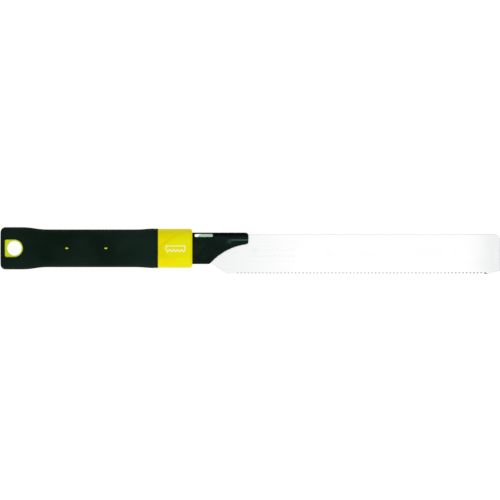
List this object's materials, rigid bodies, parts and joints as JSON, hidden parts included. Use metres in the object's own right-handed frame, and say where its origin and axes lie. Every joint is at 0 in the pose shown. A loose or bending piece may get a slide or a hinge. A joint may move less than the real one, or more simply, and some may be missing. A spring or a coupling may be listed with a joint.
{
  "type": "replaceable-blade pull saw",
  "caption": "Slim hand saw for plasterboard and pipe: straight thin blade, folded steel head with a blade-change hook pin, and a rubber-sleeved handle with a hang hole.",
  "frame": {"origin": "on the surface that the saw lies on, under the middle of its outline", "axes": "+X along the saw towards the blade's tip, +Y from the teeth towards the blade's back, +Z out of the side that faces up"},
  "size_m": [0.4494, 0.042, 0.025],
  "materials": {
    "blade_steel": "fine ground and bright",
    "bracket_black": "gloss black coating",
    "pin_black": "satin black coating",
    "plain_steel": "plain zinc",
    "core_yellow": "moulded, semi-gloss",
    "collar_yellow": "moulded, semi-gloss",
    "grip_black": "fine matte grain"
  },
  "bodies": {
    "handle": {"head_bracket": "bracket_black", "hook_pin": "pin_black", "tang_plate": "plain_steel", "tang_rivets": "plain_steel", "tang_dowels": "plain_steel", "core_upper": "core_yellow", "core_lower": "core_yellow", "core_screws": "plain_steel", "front_collar": "collar_yellow", "grip_sleeve": "grip_black"},
    "blade": {"saw_blade": "blade_steel"}
  },
  "joints": [
    {"name": "blade_swing", "type": "hinge", "parent": "handle", "child": "blade", "pos_m": [-0.0421, -0.00287, 0.0125], "axis": [0, 0, -1], "range_deg": [0, 45]}
  ]
}
